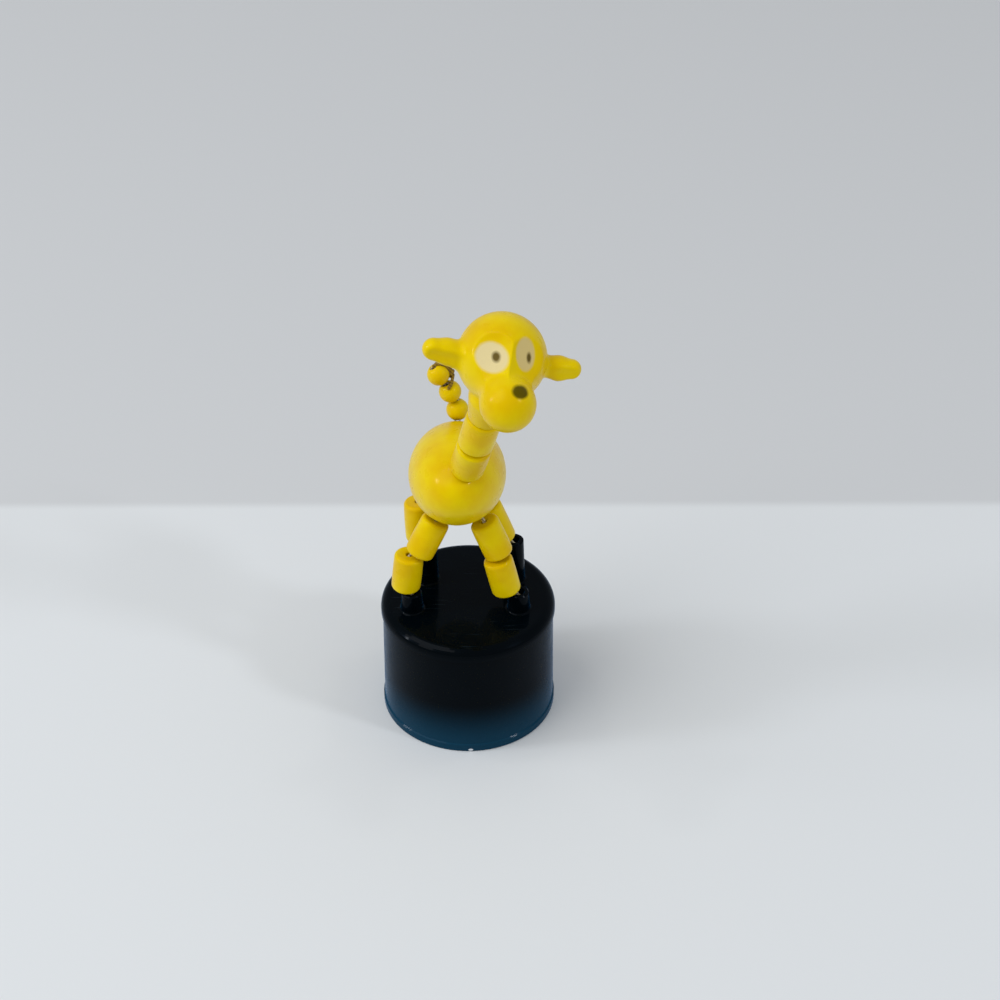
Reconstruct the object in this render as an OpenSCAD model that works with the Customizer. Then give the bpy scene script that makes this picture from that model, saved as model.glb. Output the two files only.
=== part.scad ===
// Thumb push puppet: a small four-legged animal strung from beads on a drum-shaped base.
// The animal looks along -Y. Left and right are those of someone who stands in front of it.
// The origin is the middle of the base's foot, on the table. Every length is in millimetres.

/* [Base] */
// Diameter of the drum's wall just above the foot
base_d = 25; // [22:0.5:30]
// Height of the drum from the table to its top face
base_h = 19.1; // [16:0.1:24]
// Thickness of the drum's side wall
wall_t = 1.3; // [1:0.1:2]
// Thickness of the top plate
top_t = 1.5; // [1:0.1:2.5]
// How much narrower the wall is at the top than at the foot
wall_draft = 0.1; // [0:0.05:0.4]
// Height of the band round the top edge
lip_h = 2; // [1.8:0.1:3]
// Height of the band round the foot
foot_h = 1.2; // [0.6:0.1:2]
// How far both bands stand out from the wall
band_out = 0.16; // [0.1:0.02:0.4]
// Rounding of the top edge
lip_round = 1.5; // [0.8:0.1:1.6]
// Rounding of the foot's lower edge
foot_round = 0.25; // [0.1:0.05:0.5]

/* [Posts] */
// Diameter of a post at its top
post_top_d = 2.9; // [2.6:0.1:3.4]
// Diameter of a post at its foot
post_foot_d = 3.3; // [3:0.1:4]
// Height of the two front posts
front_post_h = 3.1; // [2:0.1:6]
// Height of the two rear posts
rear_post_h = 7.3; // [5:0.1:10]
// Distance between the two front posts
front_post_span = 15.4; // [14:0.1:16]
// Distance of the front posts from the middle, towards the front
front_post_y = 2.75; // [2:0.05:4]
// Distance between the two rear posts
rear_post_span = 12.6; // [11:0.1:14]
// Distance of the rear posts from the middle, towards the back
rear_post_y = 3.95; // [3:0.05:5]
// How far the front pair of posts is off the middle to the left, and the rear pair to the right
post_skew = 0.35; // [0:0.05:0.6]
// Diameter of the string hole down each post
post_hole_d = 0.9; // [0.8:0.1:1.2]
// Diameter of the hole's mouth at the post's top
post_mouth_d = 1.7; // [1.4:0.1:2]
// Rounding where a post stands on the top plate
post_fillet = 0.35; // [0.2:0.05:0.6]

/* [Button] */
// Travel of the button from rest to its stop
travel = 4; // [2:0.5:5]
// How far the button's face lies above the foot's rim
recess = 1.2; // [0.8:0.1:2]
// Thickness of the button's floor
button_floor_t = 1.6; // [1.2:0.1:2.5]
// Thickness of the button's skirt
skirt_t = 1; // [0.8:0.1:1.5]
// Gap between the skirt and the drum's inner wall
slide_gap = 0.25; // [0.15:0.05:0.4]
// Diameter of the four string holes in the button
button_hole_d = 1; // [0.8:0.1:1.4]
// Diameter of the knots that hold the strings under the button
knot_d = 1.7; // [1.3:0.1:2]

/* [Spring] */
// Mean diameter of the coil
coil_d = 6.8; // [5.5:0.1:8]
// Diameter of the wire
wire_d = 0.5; // [0.4:0.05:0.7]
// Number of turns
coil_turns = 6; // [4:1:8]
// Gap between the coil and what locates it
coil_gap = 0.3; // [0.2:0.05:0.6]

/* [Leg beads] */
// Diameter of a leg bead
bead_d = 4.3; // [3.6:0.1:4.8]
// Length of the four front leg beads
front_bead_l = 6; // [5:0.1:7]
// Length of the two rear leg beads
rear_bead_l = 6.4; // [5:0.1:7]
// Rounding of a bead's outer edges
bead_round = 0.5; // [0.2:0.05:0.7]
// Diameter of a leg bead's bore
bead_bore_d = 0.9; // [0.8:0.05:1.2]
// Diameter of the wide mouth under a bead, in which the string can shift sideways
foot_mouth_d = 2.9; // [2.2:0.1:3]
// Depth of the wide mouth
foot_mouth_h = 2; // [1:0.1:2.4]
// Rounding of the bore's upper mouth
mouth_round = 0.15; // [0.1:0.05:0.3]

/* [Body] */
// Diameter of the egg-shaped body
body_d = 13.8; // [12:0.1:16]
// Length of the body
body_l = 23.4; // [18:0.2:26]
// How far the body's front is tipped up, in degrees
body_pitch = 21; // [8:1:24]
// Diameter of the string passages in the body
passage_d = 1.8; // [1.4:0.1:2.2]

/* [Neck] */
// Diameter of a neck bead
neck_d = 5; // [4:0.1:5.4]
// Length of a neck bead
neck_l = 6; // [5:0.1:7]
// Diameter of a neck bead's bore, which takes two strings
neck_bore_d = 1.2; // [1.1:0.05:1.5]

/* [Head] */
// Diameter of the round skull
skull_d = 12.1; // [10:0.1:14]
// Diameter of the round muzzle
muzzle_d = 8.9; // [7:0.1:10]
// Distance of the muzzle's middle in front of the skull's middle
muzzle_out = 5.15; // [4:0.05:6.5]
// Distance of the muzzle's middle below the skull's middle
muzzle_down = 4.35; // [3.5:0.1:6]
// Distance from ear tip to ear tip
ear_span = 22; // [18:0.2:25]
// Depth of the hollows round the eyes
socket_depth = 0.55; // [0.2:0.05:0.9]

/* [Tail] */
// Diameter of a tail bead
tail_d = 3.2; // [2.6:0.1:3.6]
// Diameter of a tail bead's bore
tail_bore_d = 1.1; // [1.1:0.05:1.4]
// Diameter of the knot that ends the tail
tail_knot_d = 1.3; // [1:0.1:1.6]

/* [Strings] */
// Diameter of a string
string_d = 0.45; // [0.3:0.05:0.5]
// Gap that is left where one bead stands on another piece
seat_gap = 0.06; // [0.04:0.01:0.15]

/* [Pose] */
// Lean of the front left leg's lower bead to the right and to the front, in degrees
front_left_lower_lean = [6, 0]; // [-30:1:30]
// Lean of the front left leg's upper bead to the right and to the front, in degrees
front_left_upper_lean = [26, -9]; // [-32:1:32]
// Lean of the front right leg's lower bead to the right and to the front, in degrees
front_right_lower_lean = [-13, 0]; // [-30:1:30]
// Lean of the front right leg's upper bead to the right and to the front, in degrees
front_right_upper_lean = [-22, -5]; // [-30:1:30]
// Lean of the rear left leg's bead to the right and to the front, in degrees
rear_left_lean = [-2, -4]; // [-30:1:30]
// Lean of the rear right leg's bead to the right and to the front, in degrees
rear_right_lean = [-21, -2]; // [-30:1:30]
// Lean of the lower neck bead to the right and to the front, in degrees
neck_lower_lean = [12, 22]; // [0:0.5:30]
// Lean of the upper neck bead to the right and to the front, in degrees
neck_upper_lean = [13, 14]; // [-10:0.5:30]
// Tip of the head to the front and to the right, and its turn to the right, in degrees
head_tip = [-25.5, 11.5, 8.5]; // [-40:0.5:40]
// Place of the body's middle over the base, to the right and towards the back
body_at = [-1.35, 2.2]; // [-4:0.1:4]

/* [Hidden] */

base_black = "#15171c";
puppet_yellow = "#e0c40a";
thread_white = "#e9e2c4";
spring_steel = "#b9bcc0";

round_fn = 96;
small_fn = 32;
thread_fn = 16;
arc_steps = 8;

base_r = base_d / 2;
band_r = base_r + band_out;
inner_r = base_r - wall_draft - wall_t;
ceiling_z = base_h - top_t;
button_top_z = ceiling_z - travel - 1.3;
coil_r = coil_d / 2;
spring_foot_z = recess + button_floor_t;
string_r = string_d / 2;
post_r = post_top_d / 2;
bead_r = bead_d / 2;
neck_r = neck_d / 2;
tail_r = tail_d / 2;
skull_r = skull_d / 2;
muzzle_r = muzzle_d / 2;

// Steps from a post's top to the bead on it, and from a lower bead to the upper one
front_left_foot_step = [-0.85, 0.75];
front_right_foot_step = [-1.7, 0.25];
rear_left_foot_step = [-0.9, 0.2];
rear_right_foot_step = [-1.6, 0.1];
front_left_knee_step = [1.35, -0.15];
front_right_knee_step = [0.3, 0.35];

// Direction of an axis that leans lean[0] degrees to the right and lean[1] to the front
function axis_of(lean) =
    [cos(lean[1]) * sin(lean[0]), -sin(lean[1]), cos(lean[1]) * cos(lean[0])];

// Points of an arc about the point c, from angle a to angle b
function arc(c, r, a, b, steps = arc_steps) =
    [for (i = [0:steps]) c + r * [cos(a + (b - a) * i / steps), sin(a + (b - a) * i / steps)]];

// Height over its own middle of a face that is square to the direction n
function face_height(n, p) = -(n[0] * p[0] + n[1] * p[1]) / n[2];

// Points of a rim of radius r about c, and of the half radius, seen from above
function rim_points(c, r) =
    [for (t = [0:15:345], k = [0.5, 1]) [c[0] + k * r * cos(t), c[1] + k * r * sin(t)]];

// How far the middle of an upper face must stand over that of a lower one so that they clear.
// The lower face has radius r1 and normal n1, the upper one r2 and n2, and lies step to the side.
function face_rise(r1, n1, r2, n2, step) =
    max([for (p = concat(rim_points([0, 0], r1), rim_points(step, r2)))
        norm(p) <= r1 + 0.01 && norm(p - step) <= r2 + 0.01
            ? face_height(n1, p) - face_height(n2, p - step) : -100]);

// Middle of the foot of a bead that stands on the face at p, with radius r1 and normal n1
function stand_on(p, step, r1, n1, n2) =
    p + [step[0], step[1], face_rise(r1, n1, bead_r, n2, step) + seat_gap];

front_left_post = [-front_post_span / 2 - post_skew, -front_post_y, base_h + front_post_h];
front_right_post = [front_post_span / 2 - post_skew, -front_post_y, base_h + front_post_h];
rear_left_post = [-rear_post_span / 2 + post_skew, rear_post_y, base_h + rear_post_h];
rear_right_post = [rear_post_span / 2 + post_skew, rear_post_y, base_h + rear_post_h];

// Axes of the leg beads
fl_lower = axis_of(front_left_lower_lean);
fl_upper = axis_of(front_left_upper_lean);
fr_lower = axis_of(front_right_lower_lean);
fr_upper = axis_of(front_right_upper_lean);
rl_axis = axis_of(rear_left_lean);
rr_axis = axis_of(rear_right_lean);

// Feet, knees and hips of the legs
plumb = [0, 0, 1];
fl_foot = stand_on(front_left_post, front_left_foot_step, post_r, plumb, fl_lower);
fl_shin = fl_foot + front_bead_l * fl_lower;
fl_knee = stand_on(fl_shin, front_left_knee_step, bead_r, fl_lower, fl_upper);
fl_hip = fl_knee + front_bead_l * fl_upper;
fr_foot = stand_on(front_right_post, front_right_foot_step, post_r, plumb, fr_lower);
fr_shin = fr_foot + front_bead_l * fr_lower;
fr_knee = stand_on(fr_shin, front_right_knee_step, bead_r, fr_lower, fr_upper);
fr_hip = fr_knee + front_bead_l * fr_upper;
rl_foot = stand_on(rear_left_post, rear_left_foot_step, post_r, plumb, rl_axis);
rl_hip = rl_foot + rear_bead_l * rl_axis;
rr_foot = stand_on(rear_right_post, rear_right_foot_step, post_r, plumb, rr_axis);
rr_hip = rr_foot + rear_bead_l * rr_axis;

// The body is an ellipsoid of revolution, tipped about the X axis
body_a = body_d / 2;
body_b = body_l / 2;
nose_dir = [0, -cos(body_pitch), sin(body_pitch)];
back_dir = [0, sin(body_pitch), cos(body_pitch)];

// Height of the body's underside over its middle at the place dx, dy, or 1000 beside the body
function underside(dx, dy) =
    let (s = sin(body_pitch),
         c = cos(body_pitch),
         qa = s * s / body_b ^ 2 + c * c / body_a ^ 2,
         qb = 2 * dy * s * c * (1 / body_a ^ 2 - 1 / body_b ^ 2),
         qc = dy ^ 2 * (c * c / body_b ^ 2 + s * s / body_a ^ 2) + dx ^ 2 / body_a ^ 2 - 1,
         d = qb ^ 2 - 4 * qa * qc)
    d < 0 ? 1000 : (-qb - sqrt(d)) / (2 * qa);

// Points round the top edge of a leg bead with axis n whose top is at hip
function top_rim(hip, n) =
    let (u = cross([0, 1, 0], n) / norm(cross([0, 1, 0], n)),
         v = cross(n, u))
    [for (t = [0:15:345], k = [[0, 0], [0.3, 0.05], [0.7, 0.3]])
        hip + (bead_r - bead_round * (1 - k[0])) * (cos(t) * u + sin(t) * v) - bead_round * k[1] * n];

rims = concat(top_rim(fl_hip, fl_upper), top_rim(fr_hip, fr_upper),
    top_rim(rl_hip, rl_axis), top_rim(rr_hip, rr_axis));
body_z = max([for (p = rims) p[2] - underside(p[0] - body_at[0], p[1] - body_at[1])]) + seat_gap;
body_mid = [body_at[0], body_at[1], body_z];

// Point of the body's surface that faces along the direction d
function body_skin(d) =
    let (x = d[0] * body_a ^ 2,
         n = (d * nose_dir) * body_b ^ 2,
         b = (d * back_dir) * body_a ^ 2,
         h = sqrt(d[0] * x + (d * nose_dir) * n + (d * back_dir) * b))
    body_mid + ([x, 0, 0] + n * nose_dir + b * back_dir) / h;

// The neck stands where the body faces along its lower bead, moved by a small slip
neck_slip = [0.5, 0, 0];
neck_lower_axis = axis_of(neck_lower_lean);
neck_upper_axis = axis_of(neck_upper_lean);
neck_slip_flat = neck_slip - (neck_slip * neck_lower_axis) * neck_lower_axis;
neck_foot = body_skin(neck_lower_axis) + neck_slip_flat + seat_gap * neck_lower_axis;
neck_joint = neck_foot + neck_l * neck_lower_axis;
neck_bend = acos(neck_lower_axis * neck_upper_axis);
neck_joint_gap = 2.5 * seat_gap + neck_r * tan(neck_bend / 2);
neck_upper_foot = neck_joint + neck_joint_gap * (neck_lower_axis + neck_upper_axis) / 2;
neck_top = neck_upper_foot + neck_l * neck_upper_axis;

// The skull's middle lies over the top of the neck
head_over_neck = [2.3, 1.2, 8.7];
head_mid = neck_top + seat_gap * neck_upper_axis + head_over_neck;

// The tail is a string of round beads, each one diameter from the last
tail_step = tail_d + seat_gap;
tail_seat_dir = axis_of([0, -38]);
tail_dir_2 = axis_of([-18, -1]);
tail_dir_3 = axis_of([-30, -3]);
tail_1 = body_skin(tail_seat_dir) + (tail_r + seat_gap) * tail_seat_dir;
tail_1_foot = body_skin(tail_seat_dir);
tail_2 = tail_1 + tail_step * tail_dir_2;
tail_3 = tail_2 + tail_step * tail_dir_3;

// Sends children's +Z along the direction d from the point p
module along(p, d) {
    translate(p)
        rotate([0, acos(d[2] / norm(d)), atan2(d[1], d[0])])
            children();
}

// A string is a little thicker at a bend, where its straight stretches end inside the swelling
bend_swell = 1.15;
bend_inset = 0.35 * string_r;

// A round string along straight stretches from point to point
module thread(points) {
    last = len(points) - 1;
    for (i = [0:last - 1]) {
        d = (points[i + 1] - points[i]) / norm(points[i + 1] - points[i]);
        from = points[i] + (i == 0 ? 0 : bend_inset) * d;
        to = points[i + 1] - (i == last - 1 ? 0 : bend_inset) * d;
        along(from, d)
            cylinder(r = string_r, h = norm(to - from), $fn = thread_fn);
    }
    for (i = [1:1:last - 1])
        translate(points[i])
            sphere(r = bend_swell * string_r, $fn = thread_fn);
}

// A turned bead that stands on the origin, with rounded edges, a bore of radius b, a wide mouth
// below and a small rounded one above
module bead(r, l, b) {
    rotate_extrude($fn = round_fn)
        polygon(concat(
            [[b, foot_mouth_h], [foot_mouth_d / 2, 0]],
            arc([r - bead_round, bead_round], bead_round, 270, 360),
            arc([r - bead_round, l - bead_round], bead_round, 0, 90),
            arc([b + mouth_round, l - mouth_round], mouth_round, 90, 180)));
}

// A leg bead on its foot point
module leg_bead(foot, lean, l) {
    color(puppet_yellow)
        translate(foot)
            rotate([lean[1], lean[0], 0])
                bead(bead_r, l, bead_bore_d / 2);
}

// The drum with its top plate, the two bands and the spigot that locates the spring
module drum() {
    lip_z = base_h - lip_h;
    spigot_r = coil_r - wire_d / 2 - coil_gap;
    spigot_h = 2;
    rotate_extrude($fn = round_fn)
        polygon(concat(
            [[inner_r, 0]],
            arc([band_r - foot_round, foot_round], foot_round, 270, 360),
            [[band_r, foot_h], [base_r, foot_h + band_out]],
            [[base_r - wall_draft, lip_z - band_out], [band_r, lip_z]],
            arc([band_r - lip_round, base_h - lip_round], lip_round, 0, 90),
            [[0, base_h], [0, ceiling_z - spigot_h], [spigot_r, ceiling_z - spigot_h]],
            [[spigot_r, ceiling_z]],
            arc([inner_r - 1, ceiling_z - 1], 1, 90, 0)));
}

// A post: a slim cone with a small rounded foot
module post(top) {
    h = top[2] - base_h;
    foot_r = post_foot_d / 2;
    translate([top[0], top[1], base_h])
        rotate_extrude($fn = 64)
            polygon(concat(
                [[0, -0.5], [foot_r + post_fillet, -0.5]],
                arc([foot_r + post_fillet, post_fillet], post_fillet, 270, 180),
                [[post_r, h - 0.15], [post_r - 0.15, h], [0, h]]));
}

// The string hole of a post, with a wide mouth at the top
post_mouth_h = 0.8;
module post_hole(top) {
    translate([top[0], top[1], ceiling_z - 1])
        cylinder(d = post_hole_d, h = top[2] - ceiling_z + 2, $fn = small_fn);
    translate([top[0], top[1], top[2] - post_mouth_h])
        cylinder(d1 = post_hole_d, d2 = post_mouth_d, h = post_mouth_h + 0.001, $fn = small_fn);
}

module base() {
    posts = [front_left_post, front_right_post, rear_left_post, rear_right_post];
    color(base_black)
        difference() {
            union() {
                drum();
                for (p = posts) post(p);
            }
            for (p = posts) post_hole(p);
        }
}

// The push button: a cup that slides in the drum, with a collar round the spring
module button() {
    r = inner_r - slide_gap;
    collar_r = coil_r + wire_d / 2 + coil_gap;
    collar_t = 0.9;
    collar_h = 2.2;
    knot_room_r = knot_d / 2 + 0.25;
    color(base_black)
        difference() {
            rotate_extrude($fn = round_fn)
                polygon(concat(
                    [[0, recess]],
                    arc([r - 0.4, recess + 0.4], 0.4, 270, 360),
                    [[r, button_top_z], [r - skirt_t, button_top_z]],
                    [[r - skirt_t, spring_foot_z], [collar_r + collar_t, spring_foot_z]],
                    [[collar_r + collar_t, spring_foot_z + collar_h]],
                    [[collar_r, spring_foot_z + collar_h], [collar_r, spring_foot_z]],
                    [[0, spring_foot_z]]));
            for (p = [front_left_post, front_right_post, rear_left_post, rear_right_post])
                translate([p[0], p[1], recess]) {
                    // the string's way, which in a narrow drum also grooves the skirt
                    translate([0, 0, -1])
                        cylinder(d = button_hole_d, h = button_top_z - recess + 2, $fn = small_fn);
                    translate([0, 0, -1])
                        cylinder(r = knot_room_r, h = 1 + button_floor_t / 2, $fn = small_fn);
                }
        }
}

// Point of the spring's wire: flat end turns and even pitch between them
function coil_height(u, length) =
    let (a = min(max((u - 0.08) / 0.84, 0), 1))
    wire_d / 2 + (length - wire_d) * a;

// The compression spring between the button's floor and the drum's ceiling
module spring() {
    length = ceiling_z - spring_foot_z;
    steps = coil_turns * 18;
    sides = 6;
    rings = [for (i = [0:steps])
        let (u = i / steps,
             t = 360 * coil_turns * u,
             z = spring_foot_z + coil_height(u, length))
        [for (k = [0:sides - 1])
            let (a = 360 * k / sides,
                 r = coil_r + wire_d / 2 * cos(a))
            [r * cos(t), r * sin(t), z + wire_d / 2 * sin(a)]]];
    walls = [for (i = [0:steps - 1], k = [0:sides - 1])
        let (n = (k + 1) % sides)
        [i * sides + k, i * sides + n, (i + 1) * sides + n, (i + 1) * sides + k]];
    ends = [[for (k = [sides - 1:-1:0]) k], [for (k = [0:sides - 1]) steps * sides + k]];
    color(spring_steel)
        polyhedron(points = [for (ring = rings) each ring], faces = concat(walls, ends));
}

// A knot under the button, with the lower length of its string
tie_top_z = spring_foot_z + 2;
module knot(post_place) {
    z = recess + button_floor_t / 2 - knot_d / 2;
    color(thread_white)
        translate([post_place[0], post_place[1], 0]) {
            translate([0, 0, z])
                sphere(d = knot_d, $fn = small_fn);
            translate([0, 0, z])
                cylinder(r = string_r, h = tie_top_z - z, $fn = thread_fn);
        }
}

// Depth under a bead's upper mouth at which its string begins to slant
lip_depth = 0.4;
bead_lip_r = bead_bore_d / 2 + mouth_round;

// Where the strings of two pieces meet: the lower piece has its top at p with axis n and a mouth of
// radius lip, the upper one has its foot at q, and the string leans on the lower mouth's lip
function meeting(p, n, lip, q) =
    let (up = (q - p) * n,
         aside = q - p - up * n,
         reach = min(1, (lip - string_r) / norm(aside)))
    p + up / 2 * n + reach * aside;

// Gap between the ends of two lengths of string
string_cut = 0.07;

// The string from the button up through a post to where it meets the leg's string
module base_string(top, meet) {
    color(thread_white)
        thread([[top[0], top[1], tie_top_z + string_cut], top - post_mouth_h * plumb, meet]);
}

// The string through a leg bead, from the meeting point below to the one above
module bead_string(foot, n, l, below, above) {
    start = foot + foot_mouth_h * n;
    stop = foot + (l - lip_depth) * n;
    color(thread_white)
        thread([below + string_cut * (start - below) / norm(start - below), start, stop,
            above - string_cut * (above - stop) / norm(above - stop)]);
}

// Meeting points at the feet, knees and hips
fl_foot_meet = meeting(front_left_post, plumb, post_mouth_d / 2, fl_foot);
fr_foot_meet = meeting(front_right_post, plumb, post_mouth_d / 2, fr_foot);
rl_foot_meet = meeting(rear_left_post, plumb, post_mouth_d / 2, rl_foot);
rr_foot_meet = meeting(rear_right_post, plumb, post_mouth_d / 2, rr_foot);
fl_knee_meet = meeting(fl_shin, fl_lower, bead_lip_r, fl_knee);
fr_knee_meet = meeting(fr_shin, fr_lower, bead_lip_r, fr_knee);
function hip_meeting(hip, out) = hip + 0.9 * (out - hip) / norm(out - hip);
fl_hip_meet = hip_meeting(fl_hip, neck_foot);
fr_hip_meet = hip_meeting(fr_hip, neck_foot);
rl_hip_meet = hip_meeting(rl_hip, tail_1_foot);
rr_hip_meet = hip_meeting(rr_hip, tail_1_foot);

module body() {
    color(puppet_yellow)
        difference() {
            translate(body_mid)
                rotate([90 - body_pitch, 0, 0])
                    rotate_extrude($fn = round_fn)
                        polygon([for (i = [0:40])
                            let (t = -90 + 180 * i / 40)
                            [body_a * cos(t), body_b * sin(t)]]);
            for (hip = [fl_hip, fr_hip])
                drilled(hip, neck_foot);
            for (hip = [rl_hip, rr_hip])
                drilled(hip, tail_1_foot);
        }
}

// A straight bore through the body between the places p and q on its skin
module drilled(p, q) {
    before = 1;
    past = 2;
    d = (q - p) / norm(q - p);
    along(p - before * d, d)
        cylinder(d = passage_d, h = before + norm(q - p) + past, $fn = small_fn);
}

// Half the distance between two strings that run side by side
pair_shift = string_r + 0.03;

// A string in the body, from the top of its leg straight to the foot of the neck or tail
module body_string(hip_meet, out, side) {
    end = out + [side * pair_shift, 0, 0];
    start = hip_meet + 3 * string_cut * (end - hip_meet) / norm(end - hip_meet);
    color(thread_white)
        thread([start, end]);
}

// Two strings side by side from p to q
module string_pair(p, q) {
    side = cross([0, 1, 0], q - p) / norm(cross([0, 1, 0], q - p));
    color(thread_white)
        for (s = [-pair_shift, pair_shift])
            thread([p + s * side, q + s * side]);
}

module neck_bead(foot, lean) {
    color(puppet_yellow)
        translate(foot)
            rotate([lean[1], lean[0], 0])
                bead(neck_r, neck_l, neck_bore_d / 2);
}

// Sends the head's own frame, face along -Y and crown along +Z, to its place
module head_place() {
    translate(head_mid)
        rotate([head_tip[0], head_tip[1], 0])
            rotate([0, 0, head_tip[2]])
                children();
}

// One ear: a thick flap that leaves the skull sideways
module ear(s) {
    tip_r = 1.3;
    hull() {
        translate([s * (skull_r - 1.6), 0, -0.3])
            sphere(r = 2.2, $fn = small_fn);
        translate([s * (skull_r + 1.8), -0.1, -0.1])
            sphere(r = 1.65, $fn = small_fn);
        translate([s * (ear_span / 2 - tip_r), -0.3, 0])
            sphere(r = tip_r, $fn = small_fn);
    }
}

// Hollow round an eye: a ball that bites the skull to the stated depth
module eye_hollow(s) {
    bite_r = 4.2;
    rotate([-11, 0, s * 23.5])
        translate([0, -(skull_r - socket_depth + bite_r), 0])
            sphere(r = bite_r, $fn = 48);
}

// Depth of the knot that ends the strings in the head, and of the blind hole that takes it
head_knot_depth = 5;
blind_depth = head_knot_depth + 1;

module head() {
    throat_r = neck_r - 0.2;
    throat_h = 4;
    cheek_r = muzzle_r - 0.15;
    chin_r = muzzle_r - 0.55;
    color(puppet_yellow)
        difference() {
            union() {
                head_place() {
                    sphere(r = skull_r, $fn = 64);
                    translate([0, -muzzle_out, -muzzle_down])
                        sphere(r = muzzle_r, $fn = 64);
                    hull() {
                        translate([0, -1.5, -1.2])
                            sphere(r = cheek_r, $fn = small_fn);
                        translate([0, -muzzle_out + 0.4, -muzzle_down + 0.6])
                            sphere(r = chin_r, $fn = small_fn);
                    }
                    ear(-1);
                    ear(1);
                }
                along(neck_top + seat_gap * neck_upper_axis, neck_upper_axis)
                    cylinder(r1 = throat_r, r2 = throat_r + 0.8, h = throat_h, $fn = small_fn);
            }
            head_place() {
                eye_hollow(-1);
                eye_hollow(1);
            }
            along(neck_top, neck_upper_axis)
                cylinder(d = neck_bore_d, h = blind_depth, $fn = small_fn);
        }
}

// The string ends in the head, held by a knot at the end of the blind hole
module strings_head() {
    knot_at = neck_top + (seat_gap + head_knot_depth) * neck_upper_axis;
    string_pair(neck_top + (seat_gap + string_cut) * neck_upper_axis, knot_at);
    color(thread_white)
        translate(knot_at)
            sphere(d = neck_bore_d - 0.1, $fn = small_fn);
}

// A tail bead with its bore along the direction d
module tail_bead(p, d) {
    color(puppet_yellow)
        along(p, d)
            difference() {
                sphere(r = tail_r, $fn = 48);
                translate([0, 0, -tail_r])
                    cylinder(d = tail_bore_d, h = tail_d, $fn = small_fn);
            }
}

// Axis of each tail bead's bore: halfway between the beads before and after it
tail_axis_1 = (tail_seat_dir + tail_dir_2) / norm(tail_seat_dir + tail_dir_2);
tail_axis_2 = (tail_dir_2 + tail_dir_3) / norm(tail_dir_2 + tail_dir_3);
tail_axis_3 = tail_dir_3;

module tail_strings(p, d) {
    reach = tail_r - 2 * string_cut;
    string_pair(p - reach * d, p + reach * d);
}

// The knot that ends the tail lies beside the last bead, with two short ends hanging from it
module tail_knot() {
    at = tail_3 + [1.7, 1.5, 0.4];
    color(thread_white) {
        translate(at)
            sphere(d = tail_knot_d, $fn = small_fn);
        for (s = [-1, 1])
            along(at, [0.1 + 0.12 * s, 0.15 + 0.1 * s, -1])
                cylinder(r = string_r, h = 2.4, $fn = thread_fn);
    }
}

base();
spring();
button();
knot(front_left_post);  // knot_front_left
knot(front_right_post);  // knot_front_right
knot(rear_left_post);  // knot_rear_left
knot(rear_right_post);  // knot_rear_right
base_string(front_left_post, fl_foot_meet);  // string_front_left_base
base_string(front_right_post, fr_foot_meet);  // string_front_right_base
base_string(rear_left_post, rl_foot_meet);  // string_rear_left_base
base_string(rear_right_post, rr_foot_meet);  // string_rear_right_base
leg_bead(fl_foot, front_left_lower_lean, front_bead_l);  // front_left_lower_bead
leg_bead(fl_knee, front_left_upper_lean, front_bead_l);  // front_left_upper_bead
leg_bead(fr_foot, front_right_lower_lean, front_bead_l);  // front_right_lower_bead
leg_bead(fr_knee, front_right_upper_lean, front_bead_l);  // front_right_upper_bead
leg_bead(rl_foot, rear_left_lean, rear_bead_l);  // rear_left_bead
leg_bead(rr_foot, rear_right_lean, rear_bead_l);  // rear_right_bead
bead_string(fl_foot, fl_lower, front_bead_l, fl_foot_meet, fl_knee_meet);  // string_front_left_lower
bead_string(fl_knee, fl_upper, front_bead_l, fl_knee_meet, fl_hip_meet);  // string_front_left_upper
bead_string(fr_foot, fr_lower, front_bead_l, fr_foot_meet, fr_knee_meet);  // string_front_right_lower
bead_string(fr_knee, fr_upper, front_bead_l, fr_knee_meet, fr_hip_meet);  // string_front_right_upper
bead_string(rl_foot, rl_axis, rear_bead_l, rl_foot_meet, rl_hip_meet);  // string_rear_left
bead_string(rr_foot, rr_axis, rear_bead_l, rr_foot_meet, rr_hip_meet);  // string_rear_right
body();
body_string(fl_hip_meet, neck_foot, -1);  // string_front_left_body
body_string(fr_hip_meet, neck_foot, 1);  // string_front_right_body
body_string(rl_hip_meet, tail_1_foot, -1);  // string_rear_left_body
body_string(rr_hip_meet, tail_1_foot, 1);  // string_rear_right_body
neck_bead(neck_foot, neck_lower_lean);  // neck_lower_bead
neck_bead(neck_upper_foot, neck_upper_lean);  // neck_upper_bead
string_pair(neck_foot + string_cut * neck_lower_axis, neck_joint);  // strings_neck_lower
string_pair(neck_upper_foot, neck_top + (seat_gap - string_cut) * neck_upper_axis);  // strings_neck_upper
head();
strings_head();
tail_bead(tail_1, tail_axis_1);  // tail_bead_1
tail_bead(tail_2, tail_axis_2);  // tail_bead_2
tail_bead(tail_3, tail_axis_3);  // tail_bead_3
tail_strings(tail_1, tail_axis_1);  // strings_tail_1
tail_strings(tail_2, tail_axis_2);  // strings_tail_2
tail_strings(tail_3, tail_axis_3);  // strings_tail_3
tail_knot();
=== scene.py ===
import math

import bpy
import numpy as np
from mathutils import Euler, Matrix, Vector


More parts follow.
